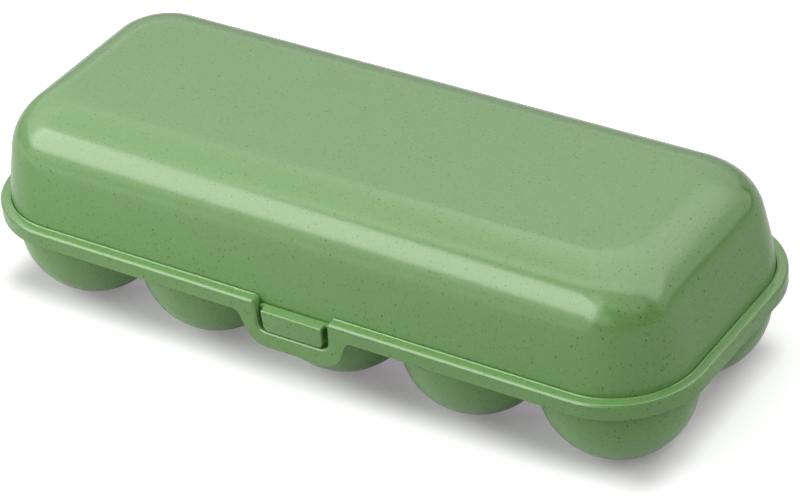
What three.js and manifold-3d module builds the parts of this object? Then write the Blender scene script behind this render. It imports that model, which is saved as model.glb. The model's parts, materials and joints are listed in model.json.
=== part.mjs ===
// Egg box for ten eggs: a tray of round cups under a stiff rim, a domed lid that nests inside the
// rim and swings on two snap hinges at the back, and a push latch on a film hinge at the front.
// Millimetres, +Z up. The latch faces -Y and the flat feet of the cups stand on z = 0.

import * as THREE from 'three';
import { mergeVertices } from 'three/addons/utils/BufferGeometryUtils.js';
import Module from 'manifold-3d';

const wasm = await Module();
wasm.setup();

// Driving dimensions of the box
const boxLength = 268;
const boxWidth = 110;
const trayHeight = 37.7;
const runningGap = 0.3;
const overrun = 1;

// Tray: two rows of cups, as wide as the box allows
const cupColumns = 5;
const cupWall = 1.8;
const rowWeb = 0.2;
const cupFootRadius = 4;
const cupEndMargin = 1.5;
const cupSideMargin = 1.1;
const cupCornerMargin = 1.8;
const cupMouthBevel = 0.8;
const saddleShoulder = 1.2;
const saddleSill = 3.8;

// Tray: rim, skirt and deck
const rimBand = 3.8;
const rimCrown = 1.5;
const rimOuterEdge = 1.6;
const rimInnerEdge = 0.5;
const skirtDepth = 5.7;
const skirtWall = 1.3;
const upstandWall = 1.3;
const deckDepth = 4;
const deckWall = 1.6;

// Tray: latch pocket and the apron that carries it
const pocketTopWidth = 28.4;
const pocketFloorWidth = 27;
const pocketFloorDepth = 11.45;
const pocketCornerRadius = 3.2;
const pocketMouthRadius = 1.4;
const pocketWall = 1.4;
const pocketCupOverlap = 0.4;
const apronTopBand = 7;
const apronSideBand = 3;
const apronLowerBand = 6.1;
const apronCornerRadius = 8.5;
const apronNeckRadius = 3;

// Lid
const lidWall = 1.6;
const lidDraft = THREE.MathUtils.degToRad(10.7);
const lidShoulderRadius = 21.2;
const lidTopCornerRadius = 10.9;
const lidCornerEase = 0.56;
const lidFootEdge = 0.5;

// Latch
const latchRootSideGap = 0.7;
const latchRootReach = 1.7;
const latchPadSideGap = 2;
const latchPadTaper = 0.4;
const latchPadCornerRadius = 2.2;
const latchPadGap = 0.6;
const latchWall = 1.3;
const latchSink = 2.5;
const latchFall = 0.6;
const latchEdge = 0.7;
const legWidth = 5;
const legInset = 2;
const legWall = 1.1;
const legBridgeHeight = 2;
const slotSideGap = 0.5;
const barbReach = 0.6;
const barbHeight = 1.5;
const barbTip = 0.4;

// Hinges
const hingeSpacing = 132;
const pinRadius = 1.5;
const knuckleWall = 1.5;
const knuckleWidth = 12;
const knuckleRimGap = 0.6;
const earWall = 2.4;
const earSideGap = 0.4;
const hingeArmHeight = 2.2;
const clipMouth = THREE.MathUtils.degToRad(100);
const clipMouthTurn = THREE.MathUtils.degToRad(300);

// Facets
const cornerSteps = 8;
const filletSteps = 6;
const edgeSteps = 3;
const draftSteps = 3;
const shoulderSteps = 8;
const bowlSteps = 6;
const cupSegments = 24;
const pinSegments = 24;

// Places that follow from the sizes above
const halfLength = boxLength / 2;
const halfWidth = boxWidth / 2;
const cupRadius = (halfWidth - rimBand - cupSideMargin + cupWall - rowWeb / 2) / 2;
const cupPitch = (2 * (halfLength - rimBand - cupEndMargin - cupRadius)) / (cupColumns - 1);
const cupRowPitch = 2 * (cupRadius - cupWall) + rowWeb;
const rimCornerRadius = cupRadius + cupCornerMargin + rimBand;
const skirtBottom = trayHeight - skirtDepth;
const deckTop = trayHeight - deckDepth;
const deckBottom = deckTop - deckWall;
const cupCentreHeight = Math.sqrt(cupRadius ** 2 - cupFootRadius ** 2);
const rowMerge = Math.sqrt(cupRadius ** 2 - (cupRowPitch / 2) ** 2);
const saddleHalf = rowMerge - saddleShoulder;
const saddleDepth = deckTop - (cupCentreHeight - rowMerge + saddleSill);
const pocketFloor = trayHeight - pocketFloorDepth;
const pocketBack = -halfWidth + rimBand + cupSideMargin + pocketCupOverlap;
const apronBottom = pocketFloor - apronLowerBand;
const lidFootInset = rimBand + runningGap;
const lidFootBack = halfWidth - lidFootInset - lidWall;
const lidFootBottom = deckTop + runningGap;
const hingeHeight = trayHeight;
const lidTop = 2 * hingeHeight;
const knuckleRadius = pinRadius + runningGap + knuckleWall;
const hingeBack = halfWidth + knuckleRimGap + knuckleRadius;
const hingeReach = knuckleRimGap + 2 * knuckleRadius;
const creaseFront = -halfWidth + lidFootInset - runningGap;
const latchTop = trayHeight - latchSink;
const latchPivotHeight = latchTop - latchWall / 2;
const catchFace = -halfWidth + skirtWall + runningGap + barbReach;
const legFront = catchFace + runningGap;
const legBack = legFront + legWall;
const latchRootWidth = pocketTopWidth - 2 * latchRootSideGap;
const latchPadWidth = pocketFloorWidth - 2 * latchPadSideGap;
const legX = latchPadWidth / 2 - legInset - legWidth / 2;

// Turning an outline into place: drawn in Y and Z and pushed along X, or drawn in X and Z and
// pushed back along Y.
const alongX = new THREE.Matrix4().makeBasis(
  new THREE.Vector3(0, 1, 0),
  new THREE.Vector3(0, 0, 1),
  new THREE.Vector3(1, 0, 0),
);
const alongY = new THREE.Matrix4().makeBasis(
  new THREE.Vector3(1, 0, 0),
  new THREE.Vector3(0, 0, 1),
  new THREE.Vector3(0, -1, 0),
);

// A closed geometry as a solid that can be joined and cut.
function solid(geometry) {
  const bare = geometry.clone();
  bare.deleteAttribute('normal');
  bare.deleteAttribute('uv');
  const merged = mergeVertices(bare);
  return new wasm.Manifold(
    new wasm.Mesh({
      numProp: 3,
      vertProperties: new Float32Array(merged.attributes.position.array),
      triVerts: new Uint32Array(merged.index.array),
    }),
  );
}

function join(solids) {
  return solids.reduce((whole, next) => whole.add(next));
}

// A finished solid as a named mesh with its own material.
function part(name, body, color) {
  const mesh = body.getMesh();
  const geometry = new THREE.BufferGeometry();
  geometry.setAttribute('position', new THREE.BufferAttribute(mesh.vertProperties, mesh.numProp));
  geometry.setIndex(new THREE.BufferAttribute(mesh.triVerts, 1));
  geometry.computeVertexNormals();
  const material = new THREE.MeshStandardMaterial({ color, roughness: 0.5, metalness: 0 });
  const made = new THREE.Mesh(geometry, material);
  made.name = name;
  return made;
}

// One level of a loft: the box outline moved in by inset, with its own corner radius.
function level(inset, height, radius) {
  const halfX = halfLength - inset;
  const halfY = halfWidth - inset;
  const centreX = halfX - radius;
  const centreY = halfY - radius;
  const centres = [
    [centreX, centreY],
    [-centreX, centreY],
    [-centreX, -centreY],
    [centreX, -centreY],
  ];
  return centres.flatMap(([x, y], corner) =>
    Array.from({ length: cornerSteps + 1 }, (_, step) => {
      const angle = (Math.PI / 2) * (corner + step / cornerSteps);
      return new THREE.Vector3(x + radius * Math.cos(angle), y + radius * Math.sin(angle), height);
    }),
  );
}

// A level whose corners stay parallel to the rim's outer corners.
function rimLevel(inset, height) {
  return level(inset, height, rimCornerRadius - inset);
}

// Skins a stack of levels, lowest first, and closes it with a fan at each end.
function loft(levels) {
  const around = levels[0].length;
  const points = levels.flat();
  const index = [];
  for (let row = 0; row < levels.length - 1; row++) {
    for (let i = 0; i < around; i++) {
      const next = (i + 1) % around;
      const a = row * around + i;
      const b = row * around + next;
      index.push(a, b, b + around, a, b + around, a + around);
    }
  }
  const last = (levels.length - 1) * around;
  const bottom = points.push(new THREE.Vector3(0, 0, levels[0][0].z)) - 1;
  const top = points.push(new THREE.Vector3(0, 0, levels.at(-1)[0].z)) - 1;
  for (let i = 0; i < around; i++) {
    const next = (i + 1) % around;
    index.push(bottom, next, i);
    index.push(top, last + i, last + next);
  }
  const geometry = new THREE.BufferGeometry().setFromPoints(points);
  geometry.setIndex(index);
  return solid(geometry);
}

// An outline from corners, each an x, a y and the radius that rounds it.
function roundedShape(corners) {
  const shape = new THREE.Shape();
  corners.forEach(([x, y, radius], i) => {
    const here = new THREE.Vector2(x, y);
    const before = new THREE.Vector2(...corners.at(i - 1)).sub(here).normalize();
    const after = new THREE.Vector2(...corners[(i + 1) % corners.length]).sub(here).normalize();
    const half = before.angleTo(after) / 2;
    const setback = radius / Math.tan(half);
    const centre = before.clone().add(after).setLength(radius / Math.sin(half)).add(here);
    const start = before.multiplyScalar(setback).add(here);
    const end = after.multiplyScalar(setback).add(here);
    if (i) shape.lineTo(start.x, start.y);
    else shape.moveTo(start.x, start.y);
    if (!radius) return;
    const from = start.clone().sub(centre).angle();
    const turn = Math.PI - 2 * half;
    const clockwise = start.clone().sub(centre).cross(end.clone().sub(centre)) < 0;
    for (let step = 1; step <= filletSteps; step++) {
      const angle = from + (clockwise ? -turn : turn) * (step / filletSteps);
      shape.lineTo(centre.x + radius * Math.cos(angle), centre.y + radius * Math.sin(angle));
    }
  });
  shape.closePath();
  return shape;
}

// A Y and Z outline pushed along X, centred on x.
function slabAlongX(shape, width, x) {
  const geometry = new THREE.ExtrudeGeometry(shape, { depth: width, bevelEnabled: false });
  geometry.applyMatrix4(alongX).translate(x - width / 2, 0, 0);
  return solid(geometry);
}

// An X and Z outline pushed from the plane y = front back to the plane y = back.
function slabAlongY(shape, front, back) {
  const geometry = new THREE.ExtrudeGeometry(shape, { depth: back - front, bevelEnabled: false });
  geometry.applyMatrix4(alongY).translate(0, back, 0);
  return solid(geometry);
}

// A straight-sided block between two corners.
function block(x0, x1, y0, y1, z0, z1) {
  const geometry = new THREE.BoxGeometry(x1 - x0, y1 - y0, z1 - z0);
  geometry.translate((x0 + x1) / 2, (y0 + y1) / 2, (z0 + z1) / 2);
  return solid(geometry);
}

// A round bar along X, centred on x.
function barAlongX(radius, width, x, y, z) {
  const geometry = new THREE.CylinderGeometry(radius, radius, width, pinSegments);
  geometry.rotateZ(Math.PI / 2).translate(x, y, z);
  return solid(geometry);
}

// A profile of radius and height turned about a vertical axis, standing at x and y.
function turned(profile, x, y) {
  const points = profile.map(([radius, height]) => new THREE.Vector2(radius, height));
  const geometry = new THREE.LatheGeometry(points, cupSegments);
  geometry.rotateX(Math.PI / 2).translate(x, y, 0);
  return solid(geometry);
}

const cupPlaces = [-1, 1].flatMap((row) =>
  Array.from({ length: cupColumns }, (_, column) => [
    (column - (cupColumns - 1) / 2) * cupPitch,
    (row * cupRowPitch) / 2,
  ]),
);

// Radius and height along a bowl, from its flat foot to its widest level.
function bowlCurve(radius, footRadius) {
  const start = Math.asin(footRadius / radius);
  return Array.from({ length: bowlSteps + 1 }, (_, step) => {
    const angle = start + (Math.PI / 2 - start) * (step / bowlSteps);
    return [radius * Math.sin(angle), cupCentreHeight - radius * Math.cos(angle)];
  });
}

function cupOutside([x, y]) {
  return turned([[0, 0], ...bowlCurve(cupRadius, cupFootRadius), [cupRadius, deckTop], [0, deckTop]], x, y);
}

function cupHollow([x, y]) {
  const radius = cupRadius - cupWall;
  const curve = bowlCurve(radius, cupFootRadius);
  const rise = cupMouthBevel + overrun;
  const mouth = [
    [radius, deckTop - cupMouthBevel],
    [radius + rise, deckTop + overrun],
    [0, deckTop + overrun],
  ];
  return turned([[0, curve[0][1]], ...curve, ...mouth], x, y);
}

// The dip in the wall that the front and the back cup of a column share. It stays inside the
// stretch where the two cups' outsides run into each other.
function saddle(column) {
  const geometry = new THREE.CylinderGeometry(1, 1, cupRowPitch, cupSegments);
  geometry.scale(saddleHalf, 1, saddleDepth);
  geometry.translate((column - (cupColumns - 1) / 2) * cupPitch, 0, deckTop);
  return solid(geometry);
}

// The rim's top edges are rounded: levels from the foot of an edge to its crown.
function roundedEdge(inset, height, radius, side) {
  return Array.from({ length: edgeSteps + 1 }, (_, step) => {
    const angle = (Math.PI / 2) * (step / edgeSteps);
    return rimLevel(inset + side * radius * (1 - Math.cos(angle)), height - radius * (1 - Math.sin(angle)));
  });
}

// The rim over its open groove, with the deck across it.
function rimAndDeck() {
  const outside = loft([rimLevel(0, skirtBottom), ...roundedEdge(0, trayHeight, rimOuterEdge, 1)]);
  const under = loft([rimLevel(skirtWall, skirtBottom - overrun), rimLevel(skirtWall, trayHeight - rimCrown)]);
  const upstand = rimBand - upstandWall;
  const core = loft([rimLevel(upstand, deckBottom), rimLevel(upstand, trayHeight)]);
  return outside.subtract(under.subtract(core));
}

// The space above the deck that the lid's foot drops into.
function rimWell() {
  return loft([
    rimLevel(rimBand, deckTop),
    ...roundedEdge(rimBand, trayHeight, rimInnerEdge, -1),
    rimLevel(rimBand - rimInnerEdge, trayHeight + overrun),
  ]);
}

// The pocket's outline in X and Z, grown outwards by wall.
function pocketShape(wall, top) {
  const floorHalf = pocketFloorWidth / 2 + wall;
  const slope = (pocketTopWidth - pocketFloorWidth) / 2 / pocketFloorDepth;
  const topHalf = floorHalf + slope * (top - pocketFloor);
  return roundedShape([
    [-floorHalf, pocketFloor - wall, pocketCornerRadius + wall],
    [floorHalf, pocketFloor - wall, pocketCornerRadius + wall],
    [topHalf, top, 0],
    [-topHalf, top, 0],
  ]);
}

// What is cut out for the latch: the pocket, flared where its sides meet the top of the rim.
function pocketHollow() {
  const floorHalf = pocketFloorWidth / 2;
  const mouthHalf = pocketTopWidth / 2;
  const flareHalf = mouthHalf + pocketMouthRadius + overrun;
  const above = trayHeight + overrun;
  const shape = roundedShape([
    [-floorHalf, pocketFloor, pocketCornerRadius],
    [floorHalf, pocketFloor, pocketCornerRadius],
    [mouthHalf, trayHeight, pocketMouthRadius],
    [flareHalf, trayHeight, 0],
    [flareHalf, above, 0],
    [-flareHalf, above, 0],
    [-flareHalf, trayHeight, 0],
    [-mouthHalf, trayHeight, pocketMouthRadius],
  ]);
  return slabAlongY(shape, -halfWidth - overrun, -lidFootBack);
}

// The front plate that hangs below the skirt, with wide lower corners and a hollow neck each side.
function apron() {
  const topHalf = pocketTopWidth / 2 + apronTopBand;
  const bottomHalf = pocketFloorWidth / 2 + apronSideBand;
  const neck = topHalf + 2 * apronNeckRadius;
  const top = trayHeight - rimOuterEdge;
  const shape = roundedShape([
    [-neck, top, 0],
    [-neck, skirtBottom, 0],
    [-topHalf, skirtBottom, apronNeckRadius],
    [-bottomHalf, apronBottom, apronCornerRadius],
    [bottomHalf, apronBottom, apronCornerRadius],
    [topHalf, skirtBottom, apronNeckRadius],
    [neck, skirtBottom, 0],
    [neck, top, 0],
  ]);
  return slabAlongY(shape, -halfWidth, -halfWidth + skirtWall);
}

// A slot in the pocket's floor: the latch's barb passes it and hooks under its front edge.
function catchSlot(x) {
  const half = legWidth / 2 + slotSideGap;
  const back = pocketBack + overrun;
  return block(x - half, x + half, catchFace, back, pocketFloor - pocketWall - overrun, pocketFloor + overrun);
}

// An ear on the back of the skirt, with its end round the hinge axis.
function ear(x) {
  const root = halfWidth - skirtWall / 2;
  const lower = Math.atan2(hingeHeight - skirtBottom, hingeBack - root) / 2;
  const shape = new THREE.Shape();
  shape.moveTo(root, skirtBottom + overrun);
  shape.lineTo(halfWidth, skirtBottom);
  shape.absarc(hingeBack, hingeHeight, knuckleRadius, lower - Math.PI / 2, Math.PI / 2, false);
  shape.lineTo(halfWidth, hingeHeight);
  shape.lineTo(root, trayHeight - rimOuterEdge);
  shape.closePath();
  return slabAlongX(shape, earWall, x);
}

// Two ears and the pin moulded between them.
function hingeMount(x) {
  const earX = knuckleWidth / 2 + earSideGap + earWall / 2;
  const pin = barAlongX(pinRadius, 2 * earX, x, hingeBack, hingeHeight);
  return join([ear(x - earX), ear(x + earX), pin]);
}

function tray() {
  const pocketBody = slabAlongY(pocketShape(pocketWall, trayHeight - rimOuterEdge), -halfWidth, pocketBack);
  const slots = join([catchSlot(-legX), catchSlot(legX)]);
  const frame = join([rimAndDeck(), apron(), pocketBody]);
  const front = frame.subtract(rimWell()).subtract(pocketHollow()).subtract(slots);
  const columns = Array.from({ length: cupColumns }, (_, column) => column);
  const hollows = join([...cupPlaces.map(cupHollow), ...columns.map(saddle)]);
  const cups = join(cupPlaces.map(cupOutside));
  const mounts = join([hingeMount(-hingeSpacing / 2), hingeMount(hingeSpacing / 2)]);
  return join([front, cups, mounts]).subtract(hollows);
}

// The lid's section, as inset and height with the corner radius of each level. The skin is moved
// in by wall, square to the surface, so that the shell is equally thick all over.
function lidLevels(wall) {
  const shoulderHeight = lidTop - lidShoulderRadius;
  const footCornerRadius = rimCornerRadius - lidFootInset;
  const draftHeight = shoulderHeight + lidShoulderRadius * Math.sin(lidDraft);
  const draftInset = lidFootInset + (draftHeight - trayHeight) * Math.tan(lidDraft);
  const topInset = draftInset + lidShoulderRadius * Math.cos(lidDraft);
  const cornerAt = (inset) => {
    const share = (inset - lidFootInset) / (topInset - lidFootInset);
    return footCornerRadius - (footCornerRadius - lidTopCornerRadius) * share ** lidCornerEase;
  };
  const foot = level(lidFootInset + wall, lidFootBottom + lidFootEdge, footCornerRadius - wall);
  const knee = level(lidFootInset + wall, trayHeight, footCornerRadius - wall);
  const side = Array.from({ length: draftSteps - 1 }, (_, step) => {
    const share = (step + 1) / draftSteps;
    const inset = THREE.MathUtils.lerp(lidFootInset, draftInset, share);
    const height = THREE.MathUtils.lerp(trayHeight, draftHeight, share);
    return level(inset + wall / Math.cos(lidDraft), height, cornerAt(inset) - wall);
  });
  const shoulder = Array.from({ length: shoulderSteps + 1 }, (_, step) => {
    const angle = lidDraft + (Math.PI / 2 - lidDraft) * (step / shoulderSteps);
    const outer = topInset - lidShoulderRadius * Math.cos(angle);
    const inset = outer + wall * Math.cos(angle);
    const height = shoulderHeight + (lidShoulderRadius - wall) * Math.sin(angle);
    return level(inset, height, cornerAt(outer) - (inset - outer));
  });
  return [foot, knee, ...side, ...shoulder];
}

function lidShell() {
  const footCorner = rimCornerRadius - lidFootInset;
  const footEdge = level(lidFootInset + lidFootEdge, lidFootBottom, footCorner - lidFootEdge);
  const innerEdge = level(lidFootInset + lidWall, lidFootBottom - overrun, footCorner - lidWall);
  return loft([footEdge, ...lidLevels(0)]).subtract(loft([innerEdge, ...lidLevels(lidWall)]));
}

// An arm over the rim that ends in an open clip round the tray's pin.
function hingeClip(x) {
  const armBottom = trayHeight + runningGap;
  const arm = block(
    x - knuckleWidth / 2,
    x + knuckleWidth / 2,
    lidFootBack,
    hingeBack,
    armBottom,
    armBottom + hingeArmHeight,
  );
  const ring = barAlongX(knuckleRadius, knuckleWidth, x, hingeBack, hingeHeight);
  const bore = barAlongX(pinRadius + runningGap, knuckleWidth + overrun, x, hingeBack, hingeHeight);
  const wedge = new THREE.Shape();
  const reach = 2 * knuckleRadius;
  wedge.moveTo(hingeBack, hingeHeight);
  for (const side of [-1, 0, 1]) {
    const angle = clipMouthTurn + (side * clipMouth) / 2;
    wedge.lineTo(hingeBack + reach * Math.cos(angle), hingeHeight + reach * Math.sin(angle));
  }
  wedge.closePath();
  const mouth = slabAlongX(wedge, knuckleWidth + overrun, x);
  return arm.add(ring).subtract(bore).subtract(mouth);
}

function lid() {
  const clips = [hingeClip(-hingeSpacing / 2), hingeClip(hingeSpacing / 2)];
  const hollow = loft(lidLevels(lidWall));
  return join([lidShell(), ...clips.map((clip) => clip.subtract(hollow))]);
}

// The latch from the side: its root along the crease, the top that falls gently to the front and
// the pad that turns down flush with the apron.
function latchProfile() {
  const frontTop = latchTop - latchFall;
  const padBottom = pocketFloor + latchPadGap;
  return roundedShape([
    [creaseFront, latchTop, 0],
    [-halfWidth, frontTop, latchEdge],
    [-halfWidth, padBottom, 0],
    [-halfWidth + latchWall, padBottom, 0],
    [-halfWidth + latchWall, frontTop - latchWall, latchEdge],
    [creaseFront, latchTop - latchWall, 0],
  ]);
}

// The pad's outline from the front, with round lower corners and slightly drawn-in sides.
function latchOutline() {
  const topHalf = latchPadWidth / 2;
  const bottomHalf = topHalf - latchPadTaper;
  const padBottom = pocketFloor + latchPadGap;
  return roundedShape([
    [-bottomHalf, padBottom, latchPadCornerRadius],
    [bottomHalf, padBottom, latchPadCornerRadius],
    [topHalf, latchTop + overrun, 0],
    [-topHalf, latchTop + overrun, 0],
  ]);
}

// The wide strip along the crease that the latch bends about.
function latchRoot() {
  const front = creaseFront - latchRootReach;
  const frontTop = latchTop - (latchFall * latchRootReach) / (halfWidth + creaseFront);
  const shape = roundedShape([
    [creaseFront, latchTop, 0],
    [front, frontTop, 0],
    [front, frontTop - latchWall, 0],
    [creaseFront, latchTop - latchWall, 0],
  ]);
  return slabAlongX(shape, latchRootWidth, 0);
}

// A leg behind the pad, stepped back to pass the catch slot, with its barb under the front edge.
function latchLeg(x) {
  const bridgeBottom = pocketFloor + latchPadGap + latchWall;
  const barbTop = pocketFloor - pocketWall - runningGap;
  const tip = barbTop - barbHeight;
  const barbFront = catchFace - barbReach;
  const shape = new THREE.Shape();
  shape.moveTo(legBack, tip);
  shape.lineTo(legBack, bridgeBottom + legBridgeHeight);
  shape.lineTo(-halfWidth + latchWall / 2, bridgeBottom + legBridgeHeight);
  shape.lineTo(-halfWidth + latchWall / 2, bridgeBottom);
  shape.lineTo(legFront, bridgeBottom);
  shape.lineTo(legFront, barbTop);
  shape.lineTo(barbFront, barbTop);
  shape.lineTo(barbFront, barbTop - barbTip);
  shape.lineTo(legFront, tip);
  shape.closePath();
  return slabAlongX(shape, legWidth, x);
}

function latch() {
  const bent = slabAlongX(latchProfile(), latchPadWidth, 0);
  const outline = slabAlongY(latchOutline(), -halfWidth - overrun, creaseFront + overrun);
  return join([bent.intersect(outline), latchRoot(), latchLeg(-legX), latchLeg(legX)]);
}

// The hinges stand out at the back, so the box is moved forward to keep its middle over the origin.
const eggBox = new THREE.Group();
eggBox.position.y = -hingeReach / 2;

const trayMesh = part('egg_tray', tray(), 0x7a9f6c);

const lidSwing = new THREE.Group();
lidSwing.position.set(0, hingeBack, hingeHeight);
const lidMesh = part('lid', lid().translate([0, -hingeBack, -hingeHeight]), 0x84a877);

const latchSwing = new THREE.Group();
latchSwing.position.set(0, creaseFront - hingeBack, latchPivotHeight - hingeHeight);
const latchMesh = part('latch_tab', latch().translate([0, -creaseFront, -latchPivotHeight]), 0x7a9f6c);

latchSwing.add(latchMesh);
lidSwing.add(lidMesh, latchSwing);
eggBox.add(trayMesh, lidSwing);

const model = new THREE.Group();
model.add(eggBox);

export default model;
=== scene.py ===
# %% [markdown]
# # An egg box, dressed over its packed frame
# The CAD model comes in first as a fixed frame: a tray, a lid and a latch tab, hinged as the real
# mouldings are. Every piece below is a finer surface worked out with numpy in the same metres and
# the same place, so nothing is fitted by eye, and the hinges still turn it.

import json
import math

import bpy
import bmesh
import numpy as np
from mathutils import Matrix, Vector


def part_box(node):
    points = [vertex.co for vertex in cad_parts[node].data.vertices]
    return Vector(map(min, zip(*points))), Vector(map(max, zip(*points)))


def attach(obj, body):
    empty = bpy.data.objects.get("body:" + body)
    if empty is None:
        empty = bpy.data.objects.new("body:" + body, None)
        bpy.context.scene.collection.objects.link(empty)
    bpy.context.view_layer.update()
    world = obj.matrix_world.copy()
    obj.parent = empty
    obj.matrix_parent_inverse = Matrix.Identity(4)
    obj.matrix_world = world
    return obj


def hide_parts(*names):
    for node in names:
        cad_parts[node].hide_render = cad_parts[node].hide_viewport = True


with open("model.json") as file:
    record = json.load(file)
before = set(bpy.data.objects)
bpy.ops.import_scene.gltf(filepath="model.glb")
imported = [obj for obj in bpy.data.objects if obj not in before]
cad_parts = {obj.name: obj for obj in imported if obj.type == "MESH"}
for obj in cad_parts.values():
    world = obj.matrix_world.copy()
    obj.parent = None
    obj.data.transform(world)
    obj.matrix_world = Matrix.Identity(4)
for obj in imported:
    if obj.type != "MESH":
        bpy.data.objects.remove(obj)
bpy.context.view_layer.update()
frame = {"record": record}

# %% [markdown]
# ## The camera
# The camera was fitted to the straight edges of the rim, the outline of the lid and the cups, so
# its place and its lens are numbers, not guesses by eye. A long lens from about a metre away gives
# the calm perspective of a product photograph.

# %% Place the camera
LENS_PIXELS = 3371.897
FRAME_PIXELS = 800
SENSOR = 36.0
CAMERA_PLACE = (0.543956, -0.746416, 0.663851)
CAMERA_RIGHT = (0.83946, 0.537105, -0.08261)
CAMERA_DOWN = (0.250842, -0.517844, -0.817873)
CAMERA_AHEAD = (-0.482063, 0.66585, -0.569438)

lens = bpy.data.cameras.new("camera")
lens.sensor_fit = "HORIZONTAL"
lens.sensor_width = SENSOR
lens.lens = LENS_PIXELS * SENSOR / FRAME_PIXELS
camera = bpy.data.objects.new("camera", lens)
axes = Matrix((CAMERA_RIGHT, -Vector(CAMERA_DOWN), -Vector(CAMERA_AHEAD))).transposed()
camera.matrix_world = Matrix.Translation(CAMERA_PLACE) @ axes.to_4x4()
bpy.context.scene.collection.objects.link(camera)
bpy.context.scene.camera = camera
print("lens in mm:", round(lens.lens, 2))

# %% [markdown]
# ## The studio
# The box stands on a white sweep. Three soft lamps shade it: from above, from close by at the front
# left, so the light falls off along the front, and from the right. What the satin gloss mirrors is
# set apart from them, as a photographer does with cards, because then each can be changed alone.

# %% A soft lamp


def soft_light(name, place, wide, high, bright, aim=(0.0, 0.0, 0.0), turn=0.0):
    """A flat lamp that faces a point, turned by some degrees about the vertical.

    Bright is its brightness where white paper in plain light is 1, so the power in watts is
    pi * bright * wide * high, and its light on a white surface facing it at distance d is
    bright * wide * high / (pi * d^2)."""
    toward = Vector(place) - Vector(aim)
    data = bpy.data.lights.new(name, "AREA")
    data.shape = "RECTANGLE"
    data.size, data.size_y = wide, high
    data.energy = math.pi * bright * wide * high
    lamp = bpy.data.objects.new(name, data)
    lamp.location = place
    spin = Matrix.Rotation(math.radians(turn), 3, "Z")
    lamp.rotation_euler = (spin @ toward.to_track_quat("Z", "Y").to_matrix()).to_euler()
    lamp.visible_camera = False
    bpy.context.scene.collection.objects.link(lamp)
    print(name, "power in watts:", round(data.energy, 1))
    return lamp


# %% Lamps that shade
for shading in (
    soft_light("ceiling", (0.0, 0.0, 1.7), 1.3, 1.3, 2.0),
    soft_light("front_left", (-0.44, -0.50, 0.45), 0.6, 0.6, 3.35),
    soft_light("right", (1.1, -0.2, 1.15), 1.0, 0.8, 3.6),
):
    shading.visible_glossy = False

# %% [markdown]
# ## What the gloss mirrors
# A wide pale canopy gives the flat top its even sheen as far as the shoulder. It hangs turned from
# the box, because the sheen's edge at the near corner lies askew. Its layers add up, each at its own
# height, so it is brightest over the back and fades towards the front. Pale walls keep the lid's far
# edges from going dark. Cards at the front left draw the light band along the shoulder, and weaker
# ones at the corner and on the floor let the band fade out.

# %% The canopy's own directions
CANOPY_TURN = 21.0


def canopy_place(along, back, height):
    """A place in the canopy's own directions, which are turned from the box's by CANOPY_TURN."""
    turn = math.radians(CANOPY_TURN)
    x = along * math.cos(turn) - back * math.sin(turn)
    y = along * math.sin(turn) + back * math.cos(turn)
    return (x, y, height)


def overhead(name, along, back, height, wide, deep, bright):
    """A flat card over the box that faces straight down, in the canopy's own directions."""
    place = canopy_place(along, back, height)
    return soft_light(name, place, wide, deep, bright, (place[0], place[1], 0.0), CANOPY_TURN)


def upright(name, along, back, height, wide, high, bright, turned_to):
    """A wall of card in the canopy's own directions, turned to a place at its own height."""
    place = canopy_place(along, back, height)
    return soft_light(name, place, wide, high, bright, canopy_place(*turned_to, height))


print("canopy turned by degrees:", CANOPY_TURN)

# %% The cards
for mirrored in (
    overhead("canopy", -1.13, 2.68, 1.60, 9.7, 6.6, 1.65),
    overhead("canopy_front", -1.13, 0.85, 1.59, 9.7, 3.0, 0.55),
    overhead("canopy_near", -1.13, 0.4, 1.58, 9.7, 2.1, 0.9),
    overhead("canopy_corner", 1.57, 0.55, 1.57, 4.3, 1.8, 1.0),
    overhead("canopy_tail", -0.25, -1.15, 1.565, 2.3, 1.7, 1.4),
    overhead("canopy_tail_right", 1.65, -1.45, 1.566, 1.5, 1.4, 1.3),
    upright("right_wall", 3.74, 1.94, 0.95, 5.0, 1.3, 1.4, (0.0, 1.94)),
    upright("back_wall", -1.13, 6.0, 0.8, 9.7, 1.6, 0.85, (-1.13, 0.0)),
    upright("left_wall", -6.0, 2.68, 0.8, 6.6, 1.6, 0.85, (0.0, 2.68)),
    soft_light("shoulder_card", (-0.269, -1.562, 0.78), 3.35, 0.84, 1.7, (0.591, -0.462, 0.0)),
    soft_light("shoulder_card_middle", (-0.642, -1.258, 0.777), 2.0, 0.84, 1.7, (0.218, -0.158, 0.0)),
    soft_light("shoulder_card_right", (-0.65, -1.255, 0.775), 1.53, 0.84, 2.4, (0.21, -0.165, 0.0)),
    soft_light("corner_card", (-0.008, -1.150, 1.219), 0.55, 0.60, 2.4, (0.108, -0.045, 0.068)),
    soft_light("floor_card", (-1.0, -1.21, 0.002), 2.0, 1.98, 1.2, (-1.0, -1.21, 1.0)),
    soft_light("shoulder_card_low", (-0.757, -1.273, 0.60), 1.68, 1.18, 2.4, (0.113, -0.083, 0.0)),
):
    mirrored.visible_diffuse = False

# %% The dark beyond the cards
world = bpy.data.worlds.new("studio")
world.use_nodes = True
world.node_tree.nodes["Background"].inputs["Color"].default_value = (1.0, 1.0, 1.0, 1.0)
world.node_tree.nodes["Background"].inputs["Strength"].default_value = 0.0
bpy.context.scene.world = world
bpy.context.scene.view_settings.view_transform = "Standard"

# %% [markdown]
# ## Shader maths as Python
# Material nodes are easiest to read as sums. This small class holds one socket. An operator on it
# adds the Math node of the same name, and `node` adds any other kind.

# %% A socket that can be reckoned with


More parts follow.
